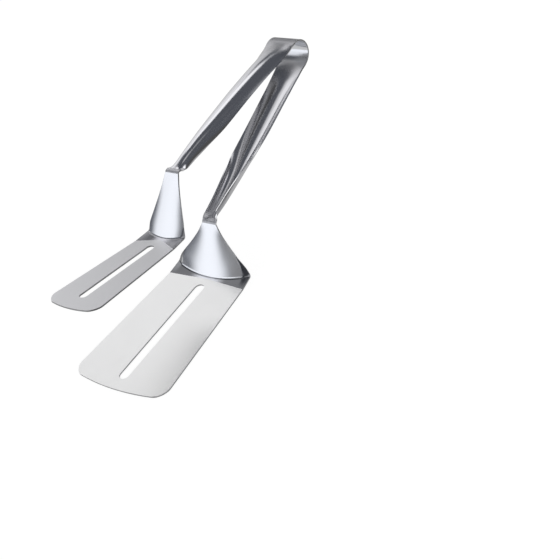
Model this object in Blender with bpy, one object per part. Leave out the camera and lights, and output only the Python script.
"""Spatula tongs: two slotted turner blades on channelled strip handles, joined by a spring bow.

Frame: +X points from the bow to the blades, +Z is up, and +Y is to the left of +X.
The underside of the wide blade lies on Z = 0, and the tongs are centred on X and Y.
"""
import math
from dataclasses import dataclass

import bmesh
import bpy
from mathutils import Vector

# The sheet that everything is pressed from, in metres
SHEET_THICKNESS = 0.0010
STRIP_WIDTH = 0.0220
JOIN_GAP = 0.0003

# The spring bow, from its centre to the middle of the sheet
BOW_RADIUS = 0.0093
# Each handle leans this far from the plane midway between the two
HANDLE_SPLAY = math.radians(7.1)

# Small radii of the press tools
NECK_BEND_RADIUS = 0.0022
HEEL_BEND_RADIUS = 0.0014
# How far the slot punches reach past each face of the sheet
CUT_OVERRUN = 0.0020

# How finely the sheet is divided
STRIP_COLUMNS = 14
BOW_ROWS = 18
BOW_COLUMNS = 2
NECK_ROWS = 4
HEEL_ROWS = 3
CORNER_ROWS = 5
SLOT_END_STEPS = 10

# Rows of the handle, as shares of its length from the bow, closer together by the neck
HANDLE_ROW_SHARES = (0.0, 0.04, 0.08, 0.12, 0.16, 0.21, 0.27, 0.34, 0.41, 0.48, 0.55, 0.615, 0.675,
                     0.73, 0.78, 0.825, 0.865, 0.90, 0.93, 0.955, 0.970, 0.980, 0.990, 1.0)
# Rows of the shoulder, as shares of the way from the neck to the heel
SHOULDER_ROW_SHARES = (0.10, 0.24, 0.40, 0.56, 0.72, 0.86)
# Rows of the flat blade, as shares of the way from the facets' end to the front corners
BLADE_ROW_SHARES = (0.04, 0.28, 0.54, 0.78)
# How the shoulder widens: share of its length, share of its gain in width
FLARE_SHARES = ((0.0, 0.0), (0.18, 0.135), (0.41, 0.37), (0.63, 0.63), (0.85, 0.89), (1.0, 1.0))
# The crease rises to its corners along a curve, and this share of the rise is straight
FACET_STRAIGHT_SHARE = 0.25
# The corner facets start this many heel radii ahead of the crease's middle
FACET_START_RADII_SHARE = 1.6
# How the handle's strip narrows to the neck: share of the handle, share of the gain in width
NARROW_SHARES = ((0.0, 1.0), (0.62, 1.0), (0.80, 0.72), (0.93, 0.38), (0.97, 0.16), (1.0, 0.0))
# Below this wrap, in radians, the strip counts as flat
FLAT_WRAP = 0.001


@dataclass(frozen=True)
class ArmSizes:
    """The sizes of one arm. Lengths are along the middle of the sheet."""

    name: str
    # 1 for the upper arm, -1 for the lower arm
    side: int
    handle_length: float
    # The back of the handle stands this far outside the line from bow to neck
    crown: float
    crown_shares: tuple
    # How far the handle's walls are bent up at most, from its middle line to either edge, in radians
    full_wrap: float
    wrap_shares: tuple
    neck_width: float
    neck_bend: float
    shoulder_length: float
    heel_bend: float
    heel_width: float
    # The foot of the cone runs this far into the blade
    heel_bulge: float
    # The rear corners of the blade turn up this far, over this length of its edge
    corner_lift: float
    facet_length: float
    blade_length: float
    front_width: float
    # The front edge is this much further forward in the middle than at its ends
    front_bow: float
    front_corner_radius: float
    slot_start: float
    # The slot ends this far behind the middle of the front edge
    slot_front_gap: float
    slot_width: float


WIDE_ARM = ArmSizes(
    name="wide_spatula_arm",
    side=-1,
    handle_length=0.1288,
    crown=0.0031,
    crown_shares=((0.0, 0.0), (0.012, 0.010), (0.05, 0.20), (0.12, 0.62), (0.20, 0.84), (0.44, 0.94),
                  (0.69, 1.0), (0.86, 0.92), (0.94, 0.72), (1.0, 0.0)),
    full_wrap=math.radians(110),
    wrap_shares=((0.0, 0.0), (0.05, 0.115), (0.16, 0.30), (0.26, 0.352), (0.44, 0.40), (0.575, 0.518),
                 (0.69, 0.77), (0.80, 0.935), (0.88, 1.0), (0.94, 0.98), (0.975, 0.58), (1.0, 0.0)),
    neck_width=0.0117,
    neck_bend=math.radians(48.7),
    shoulder_length=0.0317,
    heel_bend=math.radians(66.7),
    heel_width=0.0620,
    heel_bulge=0.0060,
    corner_lift=0.0022,
    facet_length=0.0098,
    blade_length=0.1076,
    front_width=0.0790,
    front_bow=0.0042,
    front_corner_radius=0.0080,
    slot_start=0.0136,
    slot_front_gap=0.0085,
    slot_width=0.0072,
)

NARROW_ARM = ArmSizes(
    name="narrow_spatula_arm",
    side=1,
    handle_length=0.1287,
    crown=0.0053,
    crown_shares=((0.0, 0.0), (0.012, 0.010), (0.04, 0.20), (0.10, 0.55), (0.17, 0.75), (0.46, 0.89),
                  (0.785, 0.97), (0.90, 0.72), (0.955, 0.38), (1.0, 0.0)),
    full_wrap=math.radians(110),
    wrap_shares=((0.0, 0.0), (0.05, 0.164), (0.10, 0.30), (0.17, 0.436), (0.46, 0.60), (0.67, 0.80),
                 (0.785, 0.93), (0.895, 1.0), (0.94, 0.98), (0.975, 0.58), (1.0, 0.0)),
    neck_width=0.0108,
    neck_bend=math.radians(47.1),
    shoulder_length=0.0383,
    heel_bend=math.radians(63.7),
    heel_width=0.0307,
    heel_bulge=0.0034,
    corner_lift=0.0017,
    facet_length=0.0088,
    blade_length=0.0875,
    front_width=0.0420,
    front_bow=0.0034,
    front_corner_radius=0.0062,
    slot_start=0.0129,
    slot_front_gap=0.0114,
    slot_width=0.0053,
)


def direction(angle):
    """Unit vector along a line that rises by an angle above +X."""
    return Vector((math.cos(angle), 0.0, math.sin(angle)))


def normal(angle):
    """Unit vector square to direction(angle), on its upper side."""
    return Vector((-math.sin(angle), 0.0, math.cos(angle)))


def sideways(distance):
    """Vector across the tongs."""
    return Vector((0.0, distance, 0.0))


def mix(low, high, share):
    """Value at a share of the way from low to high."""
    return low + (high - low) * share


def slope_at(table, index):
    """Slope of a smooth curve through a table's points, level where the values turn back."""
    if index == 0 or index == len(table) - 1:
        near = min(index, len(table) - 2)
        (x0, y0), (x1, y1) = table[near], table[near + 1]
        return (y1 - y0) / (x1 - x0)
    before = (table[index][1] - table[index - 1][1]) / (table[index][0] - table[index - 1][0])
    after = (table[index + 1][1] - table[index][1]) / (table[index + 1][0] - table[index][0])
    if before * after <= 0:
        return 0.0
    return 2 * before * after / (before + after)


def read_shares(table, share):
    """Read a table of (place, value) shares along a smooth curve through its points."""
    last = len(table) - 2
    index = next((i for i in range(last + 1) if share <= table[i + 1][0]), last)
    (x0, y0), (x1, y1) = table[index], table[index + 1]
    span = x1 - x0
    t = min(max((share - x0) / span, 0.0), 1.0)
    start_slope = slope_at(table, index) * span
    end_slope = slope_at(table, index + 1) * span
    rise = y1 - y0
    bend = start_slope + end_slope - 2 * rise
    return y0 + t * (start_slope + t * (3 * rise - 2 * start_slope - end_slope + t * bend))


class ArmLayout:
    """The lines of one arm in the side view, from the bow to the front of its blade."""

    def __init__(self, sizes, handle_angle):
        self.sizes = sizes
        self.handle_angle = handle_angle
        self.shoulder_angle = handle_angle - sizes.neck_bend
        self.blade_angle = self.shoulder_angle + sizes.heel_bend
        self.start = Vector()

    def place(self, start):
        """Put the rear end of the handle at a point."""
        self.start = start

    def neck(self):
        """Corner between the lines of the handle and the shoulder."""
        return self.start + direction(self.handle_angle) * self.sizes.handle_length

    def heel(self):
        """Corner between the lines of the shoulder and the blade."""
        return self.neck() + direction(self.shoulder_angle) * self.sizes.shoulder_length

    def tip(self):
        """Middle of the blade's front edge."""
        return self.heel() + direction(self.blade_angle) * self.sizes.blade_length

    def on_blade(self, along, across, above=0.0):
        """Point of the blade, from its distances from the heel, the middle line and the flat."""
        flat = self.heel() + direction(self.blade_angle) * along
        return flat + sideways(across) + normal(self.blade_angle) * above


def layout_tongs():
    """Set out both arms from the level underside of the wide blade, and find the bow's centre."""
    wide_handle_angle = WIDE_ARM.neck_bend - WIDE_ARM.heel_bend
    wide = ArmLayout(WIDE_ARM, wide_handle_angle)
    narrow = ArmLayout(NARROW_ARM, wide_handle_angle + 2 * HANDLE_SPLAY)

    centre = normal(wide.handle_angle) * BOW_RADIUS
    narrow.place(centre + normal(narrow.handle_angle) * BOW_RADIUS)

    front = max(wide.tip().x, narrow.tip().x)
    back = centre.x - BOW_RADIUS - SHEET_THICKNESS / 2
    shift = Vector((-(front + back) / 2, 0.0, SHEET_THICKNESS / 2 - wide.heel().z))
    centre = centre + shift
    wide.place(wide.start + shift)
    narrow.place(narrow.start + shift)
    return wide, narrow, centre


def across_shares(columns):
    """Places across the sheet, from -1 at one edge to 1 at the other."""
    return [mix(-1.0, 1.0, column / columns) for column in range(columns + 1)]


def handle_row(layout, share):
    """Row of the handle: flat at the bow, then a channel that deepens, then flat again."""
    sizes = layout.sizes
    bend_start = NECK_BEND_RADIUS * math.tan(sizes.neck_bend / 2)
    along = mix(JOIN_GAP, sizes.handle_length - bend_start, share)
    centre = layout.start + direction(layout.handle_angle) * along
    outward = normal(layout.handle_angle) * sizes.side

    narrow = read_shares(NARROW_SHARES, share)
    half_strip = mix(sizes.neck_width, STRIP_WIDTH, narrow) / 2
    wrap = read_shares(sizes.wrap_shares, share) * sizes.full_wrap
    crown = read_shares(sizes.crown_shares, share) * sizes.crown

    row = []
    for across in across_shares(STRIP_COLUMNS):
        if wrap < FLAT_WRAP:
            row.append(centre + sideways(across * half_strip) + outward * crown)
            continue
        radius = half_strip / wrap
        turn = across * wrap
        rise = crown - radius * (1 - math.cos(turn))
        row.append(centre + sideways(radius * math.sin(turn)) + outward * rise)
    return row


def neck_row(layout, share):
    """Flat row of the crisp bend at the neck."""
    sizes = layout.sizes
    bend_start = NECK_BEND_RADIUS * math.tan(sizes.neck_bend / 2)
    centre = layout.neck() - direction(layout.handle_angle) * bend_start
    centre -= normal(layout.handle_angle) * NECK_BEND_RADIUS
    angle = layout.handle_angle - sizes.neck_bend * share
    middle = centre + normal(angle) * NECK_BEND_RADIUS
    half_width = sizes.neck_width / 2
    return [middle + sideways(across * half_width) for across in across_shares(STRIP_COLUMNS)]


def lift_share(across):
    """How high a place of the crease is lifted, from 0 in the middle to 1 at the corner."""
    return mix(across * across, abs(across), FACET_STRAIGHT_SHARE)


def crease_along(sizes, across):
    """Distance of the cone's foot from the heel line."""
    return sizes.heel_bulge * (1 - across * across)


def crease_point(layout, across):
    """Point of the curved crease between the cone and the blade."""
    sizes = layout.sizes
    lift = sizes.corner_lift * lift_share(across)
    return layout.on_blade(crease_along(sizes, across), across * sizes.heel_width / 2, lift)


def shoulder_row(layout, share):
    """Row of the cone, which widens and crowns from the flat neck to the curved crease."""
    sizes = layout.sizes
    bend_end = NECK_BEND_RADIUS * math.tan(sizes.neck_bend / 2)
    top = layout.neck() + direction(layout.shoulder_angle) * bend_end
    width = mix(sizes.neck_width, sizes.heel_width, read_shares(FLARE_SHARES, share))
    row = []
    for across in across_shares(STRIP_COLUMNS):
        foot = crease_point(layout, across)
        middle = top.lerp(Vector((foot.x, 0.0, foot.z)), share)
        row.append(middle + sideways(across * width / 2))
    return row


def blade_half_width(sizes, along):
    """Half width of the tapered blade, before its front corners."""
    return mix(sizes.heel_width, sizes.front_width, along / sizes.blade_length) / 2


def facet_limit(sizes, across):
    """Distance from the heel line at which the blade is flat again."""
    inner = sizes.heel_bulge + HEEL_BEND_RADIUS * FACET_START_RADII_SHARE
    return mix(inner, max(inner, sizes.facet_length), abs(across))


def heel_row(layout, share):
    """Row of the small round between the cone and the blade."""
    sizes = layout.sizes
    near = 1 - HEEL_BEND_RADIUS / sizes.shoulder_length
    row = []
    for place, before in zip(across_shares(STRIP_COLUMNS), shoulder_row(layout, near)):
        corner = crease_point(layout, place)
        along = crease_along(sizes, place) + HEEL_BEND_RADIUS
        reach = facet_limit(sizes, place) - crease_along(sizes, place)
        lift = sizes.corner_lift * lift_share(place) * (1 - HEEL_BEND_RADIUS / reach)
        after = layout.on_blade(along, place * blade_half_width(sizes, along), lift)
        row.append(before.lerp(corner, share).lerp(corner.lerp(after, share), share))
    return row


def facet_row(layout):
    """Row where the corner facets end and the blade is flat."""
    row = []
    for across in across_shares(STRIP_COLUMNS):
        along = facet_limit(layout.sizes, across)
        row.append(layout.on_blade(along, across * blade_half_width(layout.sizes, along)))
    return row


def corner_start(sizes):
    """Distance from the heel line at which the front corners begin to round."""
    return sizes.blade_length - sizes.front_bow - sizes.front_corner_radius


def blade_row(layout, share):
    """Row of the flat blade, at a share of the way from the facets' end to the front corners."""
    row = []
    for across in across_shares(STRIP_COLUMNS):
        along = mix(facet_limit(layout.sizes, across), corner_start(layout.sizes), share)
        row.append(layout.on_blade(along, across * blade_half_width(layout.sizes, along)))
    return row


def front_row(layout, share):
    """Row between the last straight row and the bowed front edge, round its corners."""
    sizes = layout.sizes
    radius = sizes.front_corner_radius
    start = corner_start(sizes)
    turn = math.radians(90) * share
    half_width = blade_half_width(sizes, start) - radius * (1 - math.cos(turn))
    row = []
    for across in across_shares(STRIP_COLUMNS):
        side_step = across * half_width
        edge = sizes.blade_length - sizes.front_bow * (side_step / (sizes.front_width / 2)) ** 2
        row.append(layout.on_blade(mix(start, edge, math.sin(turn)), side_step))
    return row


def arm_rows(layout):
    """All rows of points of one arm, from the bow to the front edge."""
    rows = [handle_row(layout, share) for share in HANDLE_ROW_SHARES]
    rows += [neck_row(layout, step / NECK_ROWS) for step in range(1, NECK_ROWS + 1)]
    rows += [shoulder_row(layout, share) for share in SHOULDER_ROW_SHARES]
    rows += [heel_row(layout, step / HEEL_ROWS) for step in range(HEEL_ROWS + 1)]
    rows.append(facet_row(layout))
    rows += [blade_row(layout, share) for share in BLADE_ROW_SHARES]
    rows += [front_row(layout, step / CORNER_ROWS) for step in range(CORNER_ROWS + 1)]
    return rows


def bow_rows(wide, narrow):
    """Rows of the spring bow, round from the lower handle to the upper one."""
    clear = JOIN_GAP / BOW_RADIUS
    first = wide.handle_angle - math.radians(90) - clear
    last = narrow.handle_angle + math.radians(90) - math.radians(360) + clear
    centre = wide.start - normal(wide.handle_angle) * WIDE_ARM.side * BOW_RADIUS
    rows = []
    for step in range(BOW_ROWS + 1):
        middle = centre + direction(mix(first, last, step / BOW_ROWS)) * BOW_RADIUS
        rows.append([middle + sideways(across * STRIP_WIDTH / 2) for across in across_shares(BOW_COLUMNS)])
    return rows


def steel(name, colour, roughness):
    """Polished or satin stainless steel."""
    material = bpy.data.materials.new(name)
    material.use_nodes = True
    shader = material.node_tree.nodes["Principled BSDF"]
    shader.inputs["Base Color"].default_value = (*colour, 1.0)
    shader.inputs["Metallic"].default_value = 1.0
    shader.inputs["Roughness"].default_value = roughness
    return material


def sheet_object(name, rows, material, origin=Vector()):
    """Sheet metal piece through rows of points, with its own thickness."""
    shape = bmesh.new()
    grid = [[shape.verts.new(point - origin) for point in row] for row in rows]
    for low, high in zip(grid, grid[1:]):
        for side in range(len(low) - 1):
            shape.faces.new((low[side], low[side + 1], high[side + 1], high[side]))
    mesh = bpy.data.meshes.new(name)
    shape.to_mesh(mesh)
    shape.free()
    mesh.materials.append(material)
    piece = bpy.data.objects.new(name, mesh)
    bpy.context.collection.objects.link(piece)

    wall = piece.modifiers.new("sheet", "SOLIDIFY")
    wall.thickness = SHEET_THICKNESS
    wall.offset = 0.0
    wall.use_even_offset = True
    wall.use_quality_normals = True
    mesh.shade_smooth()
    return piece


def slot_punch(layout, origin=Vector()):
    """Punch with round ends that cuts the long slot of a blade."""
    sizes = layout.sizes
    radius = sizes.slot_width / 2
    slot_end = sizes.blade_length - sizes.slot_front_gap
    height = SHEET_THICKNESS / 2 + CUT_OVERRUN
    outline = []
    for centre, start in ((slot_end - radius, -90), (sizes.slot_start + radius, 90)):
        for step in range(SLOT_END_STEPS + 1):
            turn = math.radians(start + 180 * step / SLOT_END_STEPS)
            outline.append((centre + radius * math.cos(turn), radius * math.sin(turn)))

    shape = bmesh.new()
    foot = [shape.verts.new(layout.on_blade(along, across, -height) - origin) for along, across in outline]
    face = shape.faces.new(foot)
    raised = bmesh.ops.extrude_face_region(shape, geom=[face])
    top = [item for item in raised["geom"] if isinstance(item, bmesh.types.BMVert)]
    bmesh.ops.translate(shape, verts=top, vec=normal(layout.blade_angle) * 2 * height)
    bmesh.ops.recalc_face_normals(shape, faces=shape.faces)
    mesh = bpy.data.meshes.new(sizes.name + "_slot_punch")
    shape.to_mesh(mesh)
    shape.free()
    punch = bpy.data.objects.new(mesh.name, mesh)
    bpy.context.collection.objects.link(punch)
    punch.hide_render = True
    punch.display_type = "WIRE"
    return punch


def cut_slot(piece, punch):
    """Cut a punch's shape out of a piece."""
    cut = piece.modifiers.new("slot", "BOOLEAN")
    cut.operation = "DIFFERENCE"
    cut.solver = "EXACT"
    cut.object = punch


def build_tongs():
    """Build the two arms and the spring bow that joins them."""
    wide, narrow, centre = layout_tongs()

    wide_arm = sheet_object(WIDE_ARM.name, arm_rows(wide), steel("wide_arm_steel", (0.80, 0.80, 0.79), 0.22))
    cut_slot(wide_arm, slot_punch(wide))

    hinge = bpy.data.objects.new("squeeze_hinge", None)
    hinge.location = centre
    bpy.context.collection.objects.link(hinge)
    narrow_steel = steel("narrow_arm_steel", (0.68, 0.68, 0.69), 0.24)
    narrow_arm = sheet_object(NARROW_ARM.name, arm_rows(narrow), narrow_steel, centre)
    punch = slot_punch(narrow, centre)
    cut_slot(narrow_arm, punch)
    for moving in (narrow_arm, punch):
        moving.parent = hinge

    sheet_object("spring_bow", bow_rows(wide, narrow), steel("bow_steel", (0.62, 0.62, 0.64), 0.16))


def clear_scene():
    """Remove what the scene holds."""
    for item in list(bpy.data.objects):
        bpy.data.objects.remove(item)


clear_scene()
build_tongs()
